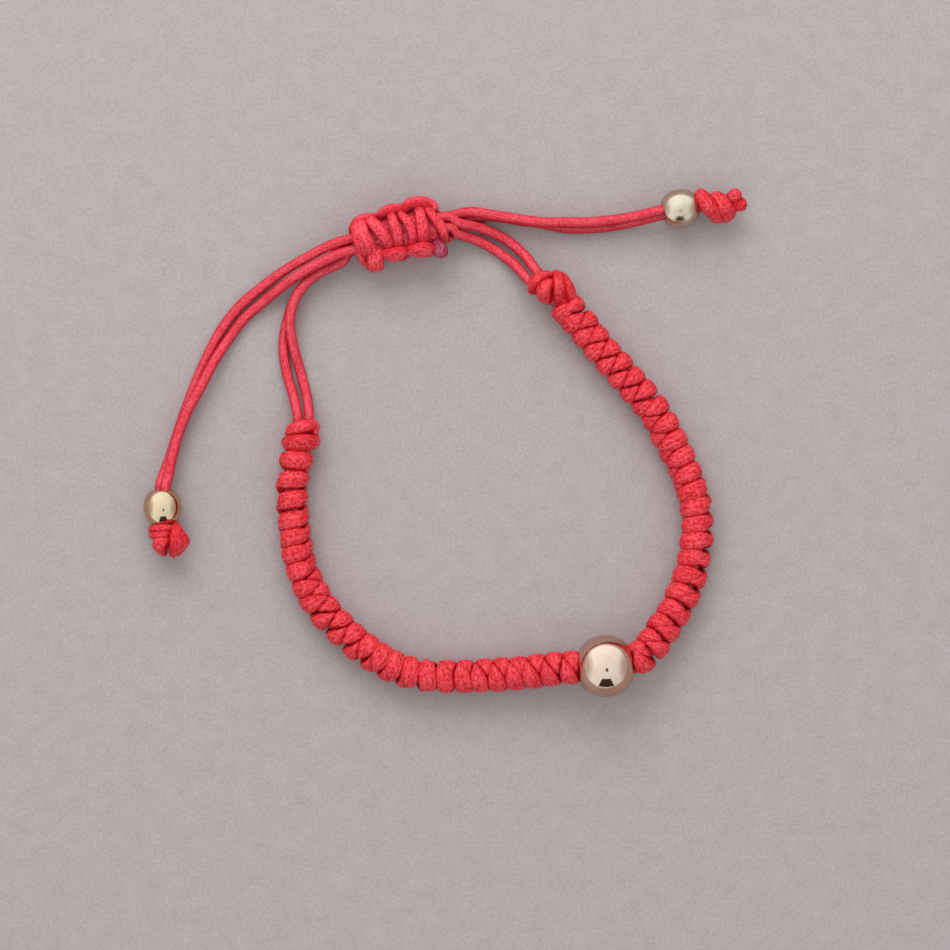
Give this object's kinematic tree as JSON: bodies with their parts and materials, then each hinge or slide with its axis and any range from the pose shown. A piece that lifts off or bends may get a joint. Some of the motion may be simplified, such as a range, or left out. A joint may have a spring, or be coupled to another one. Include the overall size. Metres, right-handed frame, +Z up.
{
  "type": "macrame bracelet",
  "caption": "Adjustable macrame bracelet of knotted coral cord with a round metal bead, a sliding knot and beaded pull ends, lying open on a surface.",
  "frame": {"origin": "on the surface that the bracelet lies on, under the middle of the loop's box, without its pull ends", "axes": "+Z up through the wrist opening, +X to the side with the straight pull end, +Y from the main bead towards the sliding knot"},
  "size_m": [0.0776, 0.0657, 0.008],
  "materials": {
    "knotted_cord": "waxed braided polyester cord, coral red, tightly knotted",
    "bare_cord": "waxed braided polyester cord, coral red, slightly glossy",
    "polished_bead": "polished champagne gold plating",
    "end_bead_metal": "champagne gold plating, slightly satin"
  },
  "bodies": {
    "root": {"braid_left": "knotted_cord", "braid_right": "knotted_cord", "start_knot_left": "knotted_cord", "start_knot_right": "knotted_cord", "main_bead": "polished_bead", "bead_thread": "bare_cord", "slide_knot": "knotted_cord", "strand_left_a": "bare_cord", "strand_left_b": "bare_cord", "strand_right_a": "bare_cord", "strand_right_b": "bare_cord", "end_bead_left": "end_bead_metal", "end_bead_right": "end_bead_metal", "end_knot_left": "knotted_cord", "end_knot_right": "knotted_cord"}
  },
  "joints": []
}
